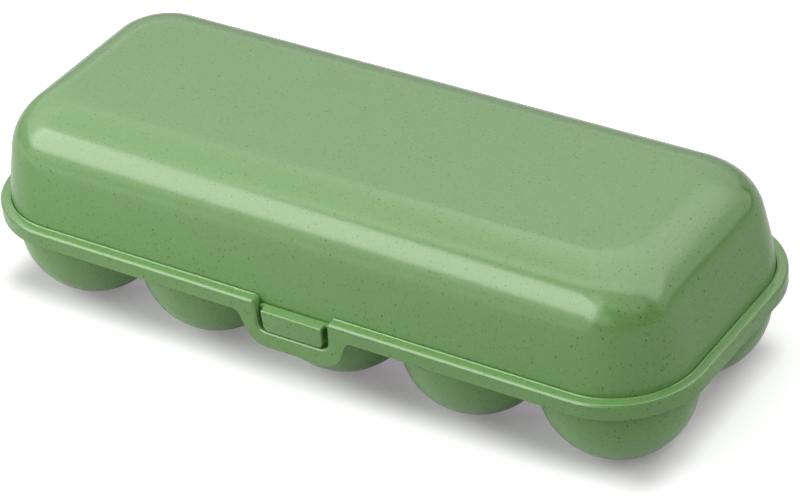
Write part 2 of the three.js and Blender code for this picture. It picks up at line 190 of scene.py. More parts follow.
class Wire:
    """One socket of a material's node tree."""

    def __init__(self, tree, socket=None):
        self.tree = tree
        self.socket = socket

    def node(self, kind, settings=None, inputs=None, output=0):
        """Adds a node: its settings first, then the values or links of its sockets."""
        made = self.tree.nodes.new(kind)
        for name, value in (settings or {}).items():
            setattr(made, name, value)
        for name, value in (inputs or {}).items():
            if isinstance(value, Wire):
                self.tree.links.new(value.socket, made.inputs[name])
            else:
                made.inputs[name].default_value = value
        return Wire(self.tree, made.outputs[output])

    def beside(self, output):
        """Another output of the same node."""
        return Wire(self.tree, self.socket.node.outputs[output])

    def maths(self, operation, *values, clamp=False):
        """A Math node on these values."""
        settings = {"operation": operation, "use_clamp": clamp}
        return self.node("ShaderNodeMath", settings, dict(enumerate(values)))

    def blend(self, low, high):
        """A colour between two others, by this value from 0 to 1."""
        sockets = {0: self, 6: low, 7: high}
        return self.node("ShaderNodeMix", {"data_type": "RGBA"}, sockets, 2)

    def into(self, shader, name):
        """Links this value to a socket of the finished shader."""
        self.tree.links.new(self.socket, shader.inputs[name])

    def clamped(self):
        return self.maths("ADD", self, 0.0, clamp=True)

    def __add__(self, other):
        return self.maths("ADD", self, other)

    def __radd__(self, other):
        return self.maths("ADD", other, self)

    def __sub__(self, other):
        return self.maths("SUBTRACT", self, other)

    def __rsub__(self, other):
        return self.maths("SUBTRACT", other, self)

    def __mul__(self, other):
        return self.maths("MULTIPLY", self, other)

    def __rmul__(self, other):
        return self.maths("MULTIPLY", other, self)

    def __truediv__(self, other):
        return self.maths("DIVIDE", self, other)

    def __rtruediv__(self, other):
        return self.maths("DIVIDE", other, self)


print("a wire can:", ", ".join(name.strip("_") for name, part in vars(Wire).items() if callable(part)))

# %% [markdown]
# ## The plastic
# The real box is moulded from a satin green plastic with fine plant fibre in it. The fibres are
# short dark flecks that lie every way, some deep and faint, with a few pale ones, and the green
# between them is slightly uneven. Each layer of flecks is a set of small stretched balls round the
# points of a Voronoi texture, and the surface cuts through them as a mould face does.

# %% Flecks
SMALLEST = 0.35
STEEPNESS = 2.2
FAINTEST = 0.2


def linear(colour):
    """A colour from 0 to 255 as the picture stores it, in the light's own scale."""
    share = np.array(colour) / 255
    low = share / 12.92
    high = ((share + 0.055) / 1.055) ** 2.4
    return tuple(np.where(share <= 0.04045, low, high)) + (1.0,)


def flecks(place, turn, stretch, spacing, reach):
    """Flecks: 1 at each Voronoi point, falling to 0 at reach times a random share of the spacing.

    The space is turned and stretched first, so each fleck is a small ellipsoid lying that way.
    A second random share makes some flecks faint and some deep."""
    lay = {"Vector": place, "Rotation": turn, "Scale": stretch}
    turned = place.node("ShaderNodeMapping", {"vector_type": "TEXTURE"}, lay)
    points = {"Vector": turned, "Scale": 1 / spacing, "Randomness": 1.0}
    near = place.node("ShaderNodeTexVoronoi", {"feature": "F1"}, points)
    chance = near.node("ShaderNodeSeparateColor", {}, {"Color": near.beside("Color")})
    radius = chance * reach + reach * SMALLEST
    edge = (1 - near / radius) * STEEPNESS
    share = chance.beside(1)
    return edge.clamped() * (share * (1 - FAINTEST) + FAINTEST)


print("middle grey in the light's own scale:", round(float(linear((128, 128, 128))[0]), 3))

# %% The speckled green
GREEN = (118, 163, 95)
SHADE = (111, 156, 89)
DARK_FLECK = (38, 70, 24)
PALE_FLECK = (168, 196, 148)
ROUGHNESS = 0.13
SPECULAR = 0.4
MOTTLE_SCALE = 900.0
DRIFT_SCALE = 55.0
RELIEF = 0.00004
DARK_LAYS = (
    ((0.4, 1.1, 0.3), (2.2, 1.0, 1.0), 0.0011, 0.20),
    ((1.3, 0.2, 1.9), (1.8, 1.0, 1.0), 0.0009, 0.19),
    ((2.2, 0.8, 2.7), (1.4, 1.0, 1.0), 0.0007, 0.20),
)
PALE_LAY = ((0.9, 2.0, 0.7), (1.7, 1.0, 1.0), 0.0015, 0.15)


def speckled_plastic(name, green, shade, dark_fleck, pale_fleck):
    """Satin plastic: a green with mottling, three lays of dark flecks and one of pale ones.

    Each lay has a turn, a stretch, a spacing in metres and a reach."""
    material = bpy.data.materials.new(name)
    material.use_nodes = True
    shader = material.node_tree.nodes["Principled BSDF"]
    shader.inputs["Specular IOR Level"].default_value = SPECULAR
    bench = Wire(material.node_tree)
    place = bench.node("ShaderNodeTexCoord", {}, {}, "Object")
    cloud = {"Vector": place, "Scale": MOTTLE_SCALE, "Detail": 2.0, "Roughness": 0.6}
    mottle = bench.node("ShaderNodeTexNoise", {}, cloud)
    slow = {"Vector": place, "Scale": DRIFT_SCALE, "Detail": 2.0}
    drift = bench.node("ShaderNodeTexNoise", {}, slow)
    first, second, third = (flecks(place, *lay) for lay in DARK_LAYS)
    light = flecks(place, *PALE_LAY)
    dark = (first + second * 0.9 + third * 0.6).clamped()
    uneven = (mottle * 0.7 + drift * 0.5 - 0.1).clamped()
    ground = uneven.blend(linear(shade), linear(green))
    flecked = (dark * 0.95).blend(ground, linear(dark_fleck))
    finished = (light * 0.3).blend(flecked, linear(pale_fleck))
    finished.into(shader, "Base Color")
    sheen = mottle * 0.08 + dark * 0.1 + ROUGHNESS
    sheen.into(shader, "Roughness")
    relief = mottle * 0.4 - dark * 0.5 + light * 0.3
    bump = {"Height": relief, "Strength": 0.2, "Distance": RELIEF}
    bench.node("ShaderNodeBump", {}, bump).into(shader, "Normal")
    print(name, "has", len(material.node_tree.nodes), "nodes")
    return material


green_plastic = speckled_plastic("speckled_green_plastic", GREEN, SHADE, DARK_FLECK, PALE_FLECK)

# %% [markdown]
# ## The floor
# A plain pale sweep. Part of its white is seen by the camera, and partly by the gloss, but lights
# nothing, so the open floor is white without more light on the box. Under the box that white is
# lower, which paints a shadow there over the lamps' own, and it has less green in it, painted so
# that the shadow stays neutral although the plastic throws green light into it. Two rounded
# rectangles, one in the other, say how the white rises outwards and the painted shadow fades.

# %% The floor's sheet
FLOOR_HALF = 3.0
FLOOR_SHADE = 0.72
floor_mesh = bpy.data.meshes.new("floor")
floor_corners = [(-FLOOR_HALF, -FLOOR_HALF, 0), (FLOOR_HALF, -FLOOR_HALF, 0)]
floor_corners += [(FLOOR_HALF, FLOOR_HALF, 0), (-FLOOR_HALF, FLOOR_HALF, 0)]
floor_mesh.from_pydata(floor_corners, [], [(0, 1, 2, 3)])
floor = bpy.data.objects.new("floor", floor_mesh)
bpy.context.scene.collection.objects.link(floor)
sweep = bpy.data.materials.new("white_sweep")
sweep.use_nodes = True
sweep_shader = sweep.node_tree.nodes["Principled BSDF"]
sweep_shader.inputs["Base Color"].default_value = (FLOOR_SHADE, FLOOR_SHADE, FLOOR_SHADE, 1.0)
sweep_shader.inputs["Roughness"].default_value = 1.0
sweep_shader.inputs["Specular IOR Level"].default_value = 0.0
sweep_shader.inputs["Emission Strength"].default_value = 1.0
print("floor half width in metres:", FLOOR_HALF)

# %% How far outside the box's shadow
SHADOW_MIDDLE = (-0.0053, -0.0036)


def past(coordinate, middle, half):
    """How far a coordinate lies beyond half a width from the middle, and 0 within it."""
    off = coordinate.maths("ABSOLUTE", coordinate - middle)
    return off.maths("MAXIMUM", off - half, 0.0)


floor_bench = Wire(sweep.node_tree)
floor_place = floor_bench.node("ShaderNodeTexCoord", {}, {}, "Object")
floor_x = floor_bench.node("ShaderNodeSeparateXYZ", {}, {"Vector": floor_place})
floor_y = floor_x.beside(1)


def away(half_x, half_y, reach):
    """How far a place lies outside a rectangle under the box, as a share of a reach, up to 1."""
    past_x = past(floor_x, SHADOW_MIDDLE[0], half_x)
    past_y = past(floor_y, SHADOW_MIDDLE[1], half_y)
    outside = past_x.maths("SQRT", past_x * past_x + past_y * past_y)
    return (outside / reach).clamped()


print("middle of the shadow in metres:", SHADOW_MIDDLE)

# %% The white that lights nothing, lower under the box as a painted shadow
DEEP_PATCH = (0.108, 0.0225, 0.011)
OPEN_PATCH = (0.1203, 0.0352, 0.0160)
DEEP_WHITE = 0.30
EDGE_WHITE = 0.17
OPEN_WHITE = 0.65
GLOSS_SHARE = 0.42
BLACK = (0.0, 0.0, 0.0, 1.0)
WHITE = (1.0, 1.0, 1.0, 1.0)
SHADOW_TINT = (1.0, 0.89, 1.0, 1.0)
edge_share = away(*DEEP_PATCH)
open_share = away(*OPEN_PATCH)
smooth_share = open_share * open_share * (3.0 - open_share * 2.0)
by_camera = floor_bench.node("ShaderNodeLightPath")
seen = (by_camera + by_camera.beside("Is Glossy Ray") * GLOSS_SHARE).clamped()
# The white falls towards and under the box: a painted shadow on the floor.
under = edge_share * (EDGE_WHITE - DEEP_WHITE) + DEEP_WHITE
white = seen * (smooth_share * (OPEN_WHITE - EDGE_WHITE) + under)
# A painted neutral shade: the low white loses green against the plastic's green bounce.
tint = smooth_share.blend(SHADOW_TINT, WHITE)
white.blend(BLACK, tint).into(sweep_shader, "Emission Color")
floor.data.materials.append(sweep)
print("floor nodes:", len(sweep.node_tree.nodes))

# %% [markdown]
# ## How the surfaces are made
# Every piece is a grid of points worked out with numpy: rows run across a section, columns run
# along a path. One helper turns grids into faces, merges what coincides, points the faces outwards
# and hands the piece to its body of the frame. All sizes are in millimetres, as on a drawing, and
# become metres in that one place.

# %% From grids to pieces
MM = 0.001
SMOOTH_BELOW = math.radians(32)
BEVEL_ABOVE = math.radians(40)
MERGE = 1e-7


def skin(grid, round_rows=False, round_columns=False):
    """Points and quads of a grid of rows by columns: face (i, j) joins point (i, j) to the next
    row and the next column, and a round direction joins its last line to its first."""
    rows, columns = grid.shape[:2]
    number = np.arange(rows * columns).reshape(rows, columns)
    if round_rows:
        number = np.vstack([number, number[:1]])
    if round_columns:
        number = np.hstack([number, number[:, :1]])
    low, high = number[:-1], number[1:]
    quads = np.stack([low[:, :-1], low[:, 1:], high[:, 1:], high[:, :-1]], axis=-1)
    return grid.reshape(-1, 3), quads.reshape(-1, 4)


def joined(*skins):
    """Several skins as one list of points and one of faces."""
    starts = np.cumsum([0] + [len(points) for points, _ in skins[:-1]])
    faces = []
    for (_, own), start in zip(skins, starts):
        faces += [(np.array(face) + start).tolist() for face in own]
    return np.vstack([points for points, _ in skins]), faces


def make_piece(name, points, faces, body, slot, bevel=0.0):
    """A finished piece of the object: its mesh, its plastic and the body that it rides on."""
    mesh = bpy.data.meshes.new(name)
    mesh.from_pydata(np.asarray(points) * MM, [], [list(face) for face in faces])
    work = bmesh.new()
    work.from_mesh(mesh)
    bmesh.ops.remove_doubles(work, verts=work.verts, dist=MERGE)
    bmesh.ops.dissolve_degenerate(work, edges=work.edges, dist=MERGE)
    bmesh.ops.recalc_face_normals(work, faces=work.faces)
    open_edges = sum(len(edge.link_faces) != 2 for edge in work.edges)
    work.to_mesh(mesh)
    work.free()
    mesh.shade_smooth()
    mesh.set_sharp_from_angle(angle=SMOOTH_BELOW)
    piece = bpy.data.objects.new(name, mesh)
    bpy.context.scene.collection.objects.link(piece)
    if bevel:
        edge = piece.modifiers.new("soft_edges", "BEVEL")
        edge.width = bevel * MM
        edge.segments = 3
        edge.limit_method = "ANGLE"
        edge.angle_limit = BEVEL_ABOVE
        edge.harden_normals = True
    piece.data.materials.append(green_plastic)
    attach(piece, body)
    print(name, "faces:", len(mesh.polygons), "open edges:", open_edges)
    return piece


print("faces of a closed grid of 3 by 4 points:", len(skin(np.zeros((3, 4, 3)), True, True)[1]))

# %% [markdown]
# ## Round the rim
# Seen from above, the box is a rectangle with wide round corners. A distance walked along its edge
# and an inset from it name any place on the tray, so the rim, the skirt and the apron can be drawn
# as if the front were unrolled flat, with the corners bent round afterwards.

# %% A place on the tray
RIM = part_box("egg_tray")
HALF_LENGTH = RIM[1].x / MM
HALF_WIDTH = 55.0
MIDDLE = RIM[0].y / MM + HALF_WIDTH
RIM_TOP = frame["record"]["behaviour"]["joints"][0]["pos_m"][2] / MM
CORNER = 31.5
STRAIGHT_X = HALF_LENGTH - CORNER
STRAIGHT_Y = HALF_WIDTH - CORNER
QUARTER = CORNER * math.pi / 2
AROUND = 4 * (STRAIGHT_X + STRAIGHT_Y + QUARTER)


def tray_point(walked, inset, height):
    """A point by its walk from the front middle, to the right, then round the box.

    Over corner k the heading turns by clip((walk - start_k) / radius, 0, quarter turn). What is
    left of the walk runs along the inner rectangle, and the point stands off it by radius - inset
    at right angles to the heading."""
    walk = np.mod(walked, AROUND)
    straights = np.cumsum([STRAIGHT_X, 2 * STRAIGHT_Y, 2 * STRAIGHT_X, 2 * STRAIGHT_Y])
    starts = straights + np.arange(4) * QUARTER
    bends = np.clip((walk[..., None] - starts) / CORNER, 0, math.pi / 2)
    turn = bends.sum(axis=-1)
    run = walk - CORNER * turn
    marks = np.cumsum([0, STRAIGHT_X, 2 * STRAIGHT_Y, 2 * STRAIGHT_X, 2 * STRAIGHT_Y, STRAIGHT_X])
    across = np.interp(run, marks, STRAIGHT_X * np.array([0, 1, 1, -1, -1, 0]))
    along = np.interp(run, marks, STRAIGHT_Y * np.array([-1, -1, 1, 1, -1, -1]))
    x = across + (CORNER - inset) * np.sin(turn)
    y = MIDDLE + along - (CORNER - inset) * np.cos(turn)
    return np.stack(np.broadcast_arrays(x, y, height), axis=-1)


print("edge of the box in mm:", round(AROUND, 1), "half length:", round(HALF_LENGTH, 2))

# %% [markdown]
# ## The rim, its skirt, the apron and the latch pocket
# On the real tray these are one wall: an upside-down U that makes the rim stiff. At the front it
# dips into the latch pocket above and drops as an apron below. So the piece is one closed section
# carried along two lines at once. The top line follows the rim and dips through the pocket. The
# lower line follows the skirt's hem and drops round the apron. A bevel along the outer edge and a
# fine lip along the inner one draw the two thin light lines that run along the real rim.

# %% Lines with rounded corners


def filleted(corners, radii, counts):
    """Points and headings along straight lines whose corners are rounded by arcs.

    An arc from heading a to heading b starts at p and passes p + r*(sin h - sin a, cos a - cos h)
    for h from a to b, with r negative for a turn to the right. It begins r*tan(half the turn)
    before its corner. Counts gives the steps of each line and each arc in turn."""
    corners = np.array(corners, dtype=float)
    steps = np.diff(corners, axis=0)
    heading = np.arctan2(steps[:, 1], steps[:, 0])
    bend = np.diff(heading)
    cut = np.concatenate([[0], np.array(radii) * np.tan(np.abs(bend) / 2), [0]])
    ahead = np.stack([np.cos(heading), np.sin(heading)], axis=1)
    points, headings = [], []
    for i in range(len(steps)):
        begin = corners[i] + ahead[i] * cut[i]
        end = corners[i + 1] - ahead[i] * cut[i + 1]
        share = np.linspace(0, 1, counts[2 * i] + 1)[:-1, None]
        points.append(begin + (end - begin) * share)
        headings.append(np.full(counts[2 * i], heading[i]))
        if i < len(radii):
            angle = np.linspace(heading[i], heading[i + 1], counts[2 * i + 1] + 1)[:-1]
            radius = radii[i] * np.sign(bend[i])
            swing_x = np.sin(angle) - math.sin(heading[i])
            swing_y = math.cos(heading[i]) - np.cos(angle)
            points.append(end + radius * np.stack([swing_x, swing_y], axis=1))
            headings.append(angle)
    points.append(corners[-1:])
    headings.append(heading[-1:])
    return np.vstack(points), np.concatenate(headings)


trial_line, _ = filleted([(0, 0), (10, 0), (10, 10)], (2.0,), (1, 2, 1))
print("a square corner, rounded:", trial_line.round(2).tolist())

# %% The pocket's line and the apron's
POCKET_FLOOR = 26.25
POCKET_HALF = 13.5
MOUTH_HALF = 14.2
POCKET_ROUNDS = (3.2, 1.4)
APRON_FOOT = 20.15
APRON_HALF = 16.5
NECK_HALF = 21.2
APRON_ROUNDS = (8.5, 3.0)
HEM = 32.0
EVEN = 30.0
LINE_STEPS = (10, 10, 8, 8, 6)
line_starts = np.cumsum((0,) + LINE_STEPS).tolist()
FLOOR_COLUMNS = slice(0, line_starts[1])
WALL_COLUMNS = slice(line_starts[2], line_starts[3])
MOUTH_END = line_starts[4]
pocket_corners = [(0, POCKET_FLOOR), (POCKET_HALF, POCKET_FLOOR), (MOUTH_HALF, RIM_TOP), (EVEN, RIM_TOP)]
apron_corners = [(0, APRON_FOOT), (APRON_HALF, APRON_FOOT), (NECK_HALF, HEM), (EVEN, HEM)]
top_line, top_heading = filleted(pocket_corners, POCKET_ROUNDS, LINE_STEPS)
low_line, low_heading = filleted(apron_corners, APRON_ROUNDS, LINE_STEPS)
print("columns through the pocket:", len(top_line), "mouth at", top_line[MOUTH_END].round(2))

# %% Columns where the slots and the deck need them
DECK_TOP = 33.7
DECK_STEP = 0.05
BELOW_DECK = 6
WALL_HEAD = 35.2
MOUTH_STEP = 0.08
top_line[FLOOR_COLUMNS, 0] = [0, 1.3, 2.7, 4.0, 5.2, 6.4, 7.6, 8.8, 10.0, 10.3]
low_wall = np.linspace(top_line[WALL_COLUMNS.start, 1], DECK_TOP - DECK_STEP, BELOW_DECK)
wall_heights = np.concatenate([low_wall, [DECK_TOP + DECK_STEP, WALL_HEAD]])
top_line[WALL_COLUMNS, 0] = np.interp(wall_heights, [POCKET_FLOOR, RIM_TOP], [POCKET_HALF, MOUTH_HALF])
top_line[WALL_COLUMNS, 1] = wall_heights
top_line[MOUTH_END + 1, 0] = top_line[MOUTH_END, 0] + MOUTH_STEP
print("heights up the pocket's wall:", wall_heights.round(2).tolist())

# %% Half the way round, from the front middle to the back middle
corner_walk = np.linspace(0, QUARTER, 29)
beyond = [np.linspace(EVEN, STRAIGHT_X, 9)[1:], STRAIGHT_X + corner_walk[1:]]
beyond.append(STRAIGHT_X + QUARTER + np.linspace(0, 2 * STRAIGHT_Y, 7)[1:])
beyond.append(STRAIGHT_X + QUARTER + 2 * STRAIGHT_Y + corner_walk[1:])
beyond.append(np.linspace(AROUND / 2 - STRAIGHT_X, AROUND / 2, 13)[1:])
beyond = np.concatenate(beyond)
flat = np.zeros(len(beyond))
top_s = np.concatenate([top_line[:, 0], beyond])
top_z = np.concatenate([top_line[:, 1], flat + RIM_TOP])
top_h = np.concatenate([top_heading, flat])
low_s = np.concatenate([low_line[:, 0], beyond])
low_z = np.concatenate([low_line[:, 1], flat + HEM])
low_h = np.concatenate([low_heading, flat])
column = np.arange(len(top_s))
print("columns of one half:", len(column))

# %% How the section changes along the front
# The band is the width of the rim's top and the edge its outer bevel. The crown is the thickness of
# the top. The inner leg hangs down by the drop, and its face towards the groove is the upstand.
in_pocket = column <= MOUTH_END
deep_pocket = column < WALL_COLUMNS.start + BELOW_DECK
edge = np.interp(column, [0, 11, 17, 27, MOUTH_END, MOUTH_END + 4], [0.4, 0.4, 0.8, 0.8, 0.7, 0.7])
inner_edge = np.where(in_pocket, 0.2, 0.3)
LIP_HEIGHT = 0.28
LIP_CROWN = 0.1
LIP_SLOPE = 0.25
lip = LIP_HEIGHT * np.interp(column, [WALL_COLUMNS.stop, MOUTH_END], [0, 1])
band = np.where(deep_pocket, 5.3, 3.8)
upstand = np.where(in_pocket, band, 2.5)
crown = np.where(in_pocket, 1.4, 1.5)
drop = np.where(in_pocket, 1.4, 5.65)
print("width of the rim's top in mm, in the pocket and beyond it:", band[0], band[-1])

# %% Rows that hang from either line


def from_top(inset, depth):
    """A row below the top line: (walk, inset, height) = line + depth * (sin h, -cos h)."""
    inset = np.broadcast_to(inset, top_s.shape)
    return np.stack([top_s + depth * np.sin(top_h), inset, top_z - depth * np.cos(top_h)])


def from_low(inset, depth):
    """A row inside the lower line: (walk, inset, height) = line + depth * (-sin h, cos h)."""
    inset = np.broadcast_to(inset, low_s.shape)
    return np.stack([low_s - depth * np.sin(low_h), inset, low_z + depth * np.cos(low_h)])


print("front middle of the top line, then of the lower one:", from_top(0, 0)[:, 0], from_low(0, 0)[:, 0])

# %% The outer edge, a bevel between two small rounds
tilt = np.radians([0, 15, 30, 42, 54, 54, 64, 77, 90])
stride = np.array([0, 0.5, 0.5, 0.4, 0.4, 3.0, 0.35, 0.45, 0.45])
edge_run = np.cumsum(stride * np.cos(tilt))
edge_sink = np.cumsum(stride * np.sin(tilt)) / edge_run[-1]
edge_run = edge_run / edge_run[-1]
print("the bevel begins at this share of the width and of the depth:", edge_run[4].round(2),
      edge_sink[4].round(2))

# %% The closed section, row by row
HEM_EDGE = 0.35
WALL = 1.3
WALL_EDGE = 0.2
SLOT_FRONT = 2.2
quarter = np.linspace(0, math.pi / 2, 5)
rows = [from_top(SLOT_FRONT, crown), from_top(upstand, crown), from_top(upstand, drop)]
rows += [from_top(band, drop), from_top(band, inner_edge - lip)]
for a in quarter[1:]:
    rows.append(from_top(band - inner_edge * (1 - math.cos(a)), inner_edge * (1 - math.sin(a)) - lip))
rows += [from_top(band - inner_edge - LIP_CROWN, -lip)]
rows += [from_top(band - inner_edge - LIP_CROWN - LIP_SLOPE, 0 * edge)]
rows += [from_top(SLOT_FRONT, 0 * edge)]
SLOT_ROWS = len(rows)
rows += [from_top(edge * (1 - run), edge * sink) for run, sink in zip(edge_run, edge_sink)]
front_top = rows[-1]
front_low = from_low(0.0, HEM_EDGE)
rows += [front_top + (front_low - front_top) * share for share in np.linspace(0, 1, 7)[1:]]
rows += [from_low(HEM_EDGE * (1 - math.cos(a)), HEM_EDGE * (1 - math.sin(a))) for a in quarter[1:]]
rows += [from_low(WALL - WALL_EDGE, 0.0), from_low(WALL, WALL_EDGE)]
rows += [from_top(WALL, crown)]
half = np.stack(rows)
left = half[:, :, :0:-1] * np.array([-1, 1, 1])[:, None]
whole = np.concatenate([left, half[:, :, :-1]], axis=2)
rim_grid = tray_point(whole[:, 0], whole[:, 1], whole[:, 2])
print("rim grid, rows by columns:", rim_grid.shape[:2])

# %% [markdown]
# ## The catch slots
# Two slots in the pocket's floor let the latch's barbs through. The grid already has lines along
# their edges, so their faces are left out and plain walls close each slot.

# %% Open the slots and make the rim
SLOT_FROM, SLOT_TO = 3, 8
middle = len(column) - 1
rim_points, rim_faces = skin(rim_grid, round_rows=True, round_columns=True)
face_row, face_column = np.divmod(np.arange(len(rim_faces)), rim_grid.shape[1])
keep = np.ones(len(rim_faces), dtype=bool)
walls = []
for slot_start in (middle + SLOT_FROM, middle - SLOT_TO):
    slot_end = slot_start + SLOT_TO - SLOT_FROM
    in_slot = (face_column >= slot_start) & (face_column < slot_end)
    keep &= ~(in_slot & (face_row < SLOT_ROWS - 1))
    number = np.arange(SLOT_ROWS)[:, None] * rim_grid.shape[1] + np.arange(slot_start, slot_end + 1)
    walls += [number[:, 0].tolist(), number[::-1, -1].tolist()]
    front = np.stack([number[0, :-1], number[0, 1:], number[-1, 1:], number[-1, :-1]], axis=1)
    walls += front.tolist()
rim_faces = rim_faces[keep].tolist() + walls
make_piece("tray_rim", rim_points, rim_faces, "tray", "tray_plastic")

# %% [markdown]
# ## The cups
# Each egg stands in a round cup: half a ball below, a short straight wall above, and a flat foot.
# The ten cups hang from a thin deck. One cup with its share of the deck is a grid over the angle
# round the cup. The deck ends at the planes between neighbours, so copies meet there without a gap,
# and the walls that would be hidden inside the plastic are left out. Between the front and the back
# cup the wall dips in a saddle, where a finger gets under an egg.

# %% The profile of a cup
PITCH_X = 51.4
PITCH_Y = 48.4
CENTRE_Z = 25.59
OUTER = 25.9
INNER = 24.1
FOOT = 4.0
DECK_BOTTOM = 32.1
SADDLE_HALF = 8.03
SADDLE_DEPTH = 13.54
MOUTH_EDGE = 0.8
NOTCH_HALF = 13.95
NOTCH_BACK = 25.1
BURIED = 3.2
NEARLY = 0.001
TINY = 1e-9
SPLIT = 0.0005


def up_the_wall(length, radius):
    """Radius and height after that length up a wall: a ball's arc, r*sin(l/r) and centre -
    r*cos(l/r), as far as its widest level, and straight up from there."""
    angle = np.minimum(length / radius, math.pi / 2)
    rise = np.maximum(length - radius * math.pi / 2, 0)
    return radius * np.sin(angle), CENTRE_Z - radius * np.cos(angle) + rise


def length_to(height, radius):
    """The length up a wall to a height: the inverse of the height above."""
    down = np.clip((CENTRE_Z - height) / radius, 0, 1)
    return radius * np.arccos(down) + np.maximum(height - CENTRE_Z, 0)


saddle_turn = np.linspace(-math.pi / 2, math.pi / 2, 17)
saddle_angles = np.arctan2(SADDLE_HALF * np.sin(saddle_turn), PITCH_Y / 2)
cell_corner = math.atan2(PITCH_X, PITCH_Y)
notch_angle = math.atan2(NOTCH_HALF, NOTCH_BACK)
steady = np.concatenate([np.linspace(saddle_angles[-1], math.pi / 2, 17)[1:], [cell_corner]])
steady = np.concatenate([steady, [notch_angle - SPLIT, notch_angle + SPLIT]])
one_side = np.unique(np.concatenate([saddle_angles[8:], steady]).round(6))
half_turn = np.concatenate([one_side, (math.pi - one_side[::-1])[1:]])
angles = np.unique(np.concatenate([-half_turn[1:-1], half_turn]).round(6))
print("angles round a cup:", len(angles))

# %% The edge of a cup's share of the deck


def reach_of(angle, side, row):
    """How far the deck reaches from a cup's middle, by the angle from +Y.

    Towards a plane at distance p the reach is p / cos(angle off its normal). Towards the rim it
    ends in the rim's inner wall: a plane too, or the circle round the box's corner."""
    x, y = np.sin(angle), np.cos(angle)
    to_end = HALF_LENGTH - BURIED - 2 * PITCH_X
    to_rim = HALF_WIDTH - BURIED - PITCH_Y / 2
    planes = (
        (x, to_end if side == 1 else PITCH_X / 2),
        (-x, to_end if side == -1 else PITCH_X / 2),
        (y, to_rim if row == 1 else PITCH_Y / 2),
        (-y, to_rim if row == -1 else PITCH_Y / 2),
    )
    reach = np.min([distance / np.maximum(toward, TINY) for toward, distance in planes], axis=0)
    if side:
        offset = np.array([side * (STRAIGHT_X - 2 * PITCH_X), row * (STRAIGHT_Y - PITCH_Y / 2)])
        toward = x * offset[0] + y * offset[1]
        round_corner = toward + np.sqrt(toward**2 + (CORNER - BURIED) ** 2 - offset @ offset)
        inside = (round_corner * x - offset[0]) * side > 0
        inside &= (round_corner * y - offset[1]) * row > 0
        reach = np.where(inside, round_corner, reach)
    return reach


def notched(reach):
    """The same reach, cut short behind the latch pocket, though never within the cup's own wall."""
    notch = (np.cos(angles) < 0) & (np.abs(np.tan(angles)) < math.tan(notch_angle))
    stop = np.maximum(OUTER, NOTCH_BACK / np.maximum(-np.cos(angles), TINY))
    return np.where(notch, stop, reach)


end_reach = reach_of(angles, 1, -1)
print("deck round the right front cup in mm:", end_reach.min().round(2), "to", end_reach.max().round(2))

# %% The saddle between two rows


def crest_of(row):
    """The height of a cup's mouth by the angle: the deck's, but for a dip towards the other row.

    The dip is depth * sqrt(1 - (off / half)^2) at a distance off the saddle's middle."""
    inward = np.cos(angles) * -row > 0
    sideways = np.where(inward, np.abs(np.tan(angles)) * PITCH_Y / 2, SADDLE_HALF)
    off_middle = np.where(sideways > SADDLE_HALF - NEARLY, 1, sideways / SADDLE_HALF)
    return DECK_TOP - SADDLE_DEPTH * np.sqrt(1 - off_middle**2)


print("lowest place of a saddle in mm:", crest_of(1).min().round(2))

# %% One cup and its deck


def cup(column_at, row):
    """A cup's points: up the inside, over the lip and the deck, and down the outside."""
    side = int(np.sign(column_at)) if abs(column_at) == 2 else 0
    reach = reach_of(angles, side, row)
    if column_at == 0 and row == -1:
        reach = notched(reach)
    crest = crest_of(row)
    wall_radius, _ = up_the_wall(length_to(crest, INNER), INNER)
    lip = np.minimum(MOUTH_EDGE, 0.9 * (reach - wall_radius))
    start = INNER * math.asin(FOOT / INNER)
    climb = start + (length_to(crest - lip, INNER) - start) * np.linspace(0, 1, 18)[:, None]
    radius, height = up_the_wall(climb, INNER)
    bend = np.linspace(0, math.pi / 2, 6)[1:, None]
    lip_radius = radius[-1] + lip * (1 - np.cos(bend))
    lip_height = crest - lip * (1 - np.sin(bend))
    deck_radius = lip_radius[-1] + (reach - lip_radius[-1]) * np.linspace(0, 1, 4)[1:, None]
    deck_height = np.broadcast_to(crest, deck_radius.shape)
    body = np.minimum(OUTER, reach)
    below = np.stack([reach, (reach + body) / 2, body])
    below_height = np.full(below.shape, DECK_BOTTOM)
    level = CENTRE_Z - np.sqrt(np.maximum(OUTER**2 - body**2, 0))
    sink = np.linspace(0, 1, 4)[1:, None]
    wall_out = np.broadcast_to(body, (3, len(angles)))
    wall_height = DECK_BOTTOM + (level - DECK_BOTTOM) * sink
    from_side = np.arcsin(np.clip(body / OUTER, 0, 1))
    polar = from_side + (math.asin(FOOT / OUTER) - from_side) * np.linspace(0, 1, 18)[1:, None]
    ball, ball_height = OUTER * np.sin(polar), CENTRE_Z - OUTER * np.cos(polar)
    centre = np.zeros((1, len(angles)))
    radii = np.vstack([centre, radius, lip_radius, deck_radius, below, wall_out, ball, centre])
    heights = [centre + height[0, 0], height, lip_height, deck_height, below_height, wall_height]
    heights = np.vstack(heights + [ball_height, centre])
    x = column_at * PITCH_X + radii * np.sin(angles)
    y = MIDDLE + row * PITCH_Y / 2 + radii * np.cos(angles)
    return np.stack([x, y, heights], axis=-1)


def without_inner_walls(points, faces, column_at):
    """Leaves out the faces that lie in a plane between two neighbours."""
    corners = points[faces]
    hidden = np.abs(corners[..., 1] - MIDDLE).max(axis=1) < NEARLY
    if column_at < 2:
        hidden |= np.abs(corners[..., 0] - (column_at + 0.5) * PITCH_X).max(axis=1) < NEARLY
    if column_at > -2:
        hidden |= np.abs(corners[..., 0] - (column_at - 0.5) * PITCH_X).max(axis=1) < NEARLY
    return points, faces[~hidden]


cup_skins = []
for cup_row in (-1, 1):
    for cup_column in range(-2, 3):
        cup_points, cup_faces = skin(cup(cup_column, cup_row), round_columns=True)
        cup_skins.append(without_inner_walls(cup_points, cup_faces, cup_column))
cups = make_piece("tray_cups", *joined(*cup_skins), "tray", "tray_plastic")

